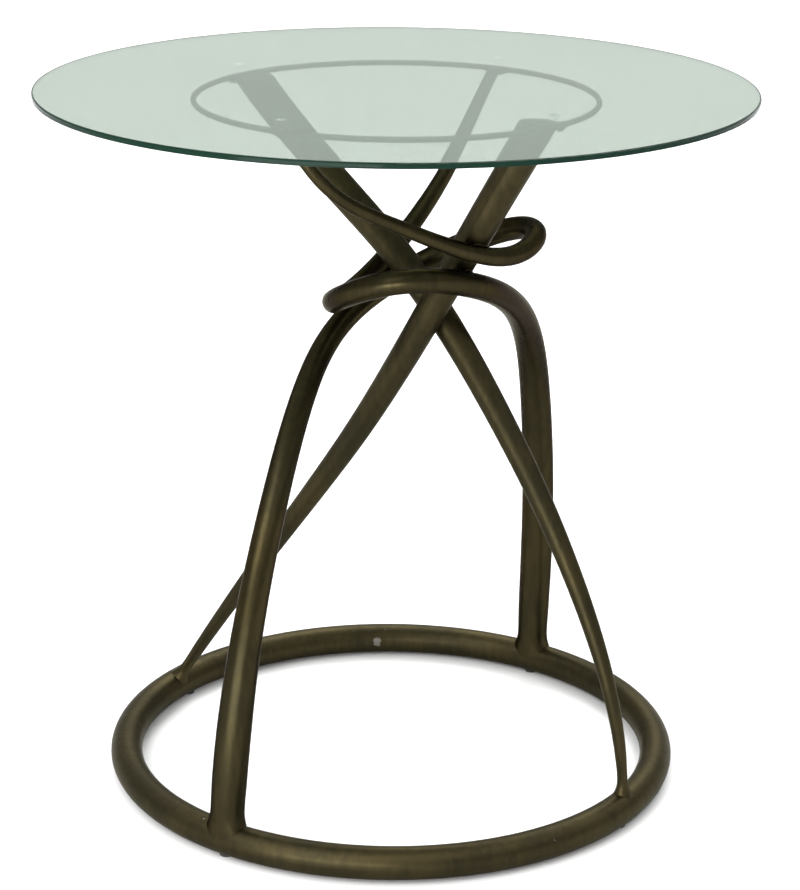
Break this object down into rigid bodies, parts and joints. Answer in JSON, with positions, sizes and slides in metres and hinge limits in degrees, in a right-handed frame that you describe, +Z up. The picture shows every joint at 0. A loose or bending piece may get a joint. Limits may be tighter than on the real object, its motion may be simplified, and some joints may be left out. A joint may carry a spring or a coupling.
{
  "type": "round dining table",
  "caption": "Round dining table: a loose clear glass disc on bumpers over a thin hoop, carried by tapering round bars that interlace at the waist and spread to a thick hoop on the floor.",
  "frame": {"origin": "on the floor, under the middle of the glass", "axes": "+Z up; -Y towards the viewer of the front, +X to that viewer's right"},
  "size_m": [0.7499, 0.75, 0.76],
  "materials": {
    "bronze": "dark antique bronze, satin, lightly worn",
    "glass": "clear with a green edge, rounded and polished",
    "bumper": "clear soft pad",
    "glide": "matte"
  },
  "bodies": {
    "frame": {"base_ring": "bronze", "upper_ring": "bronze", "leg_front_left": "bronze", "leg_back_right": "bronze", "leg_back_left": "bronze", "leg_front_right": "bronze", "bumper_1": "bumper", "bumper_2": "bumper", "bumper_3": "bumper", "bumper_4": "bumper", "glide_1": "glide", "glide_2": "glide", "glide_3": "glide", "glide_4": "glide"},
    "glass": {"glass_top": "glass"}
  },
  "joints": [
    {"name": "glass_lift", "type": "slide", "parent": "frame", "child": "glass", "axis": [0, 0, 1], "range_m": [0, 0.1]}
  ]
}
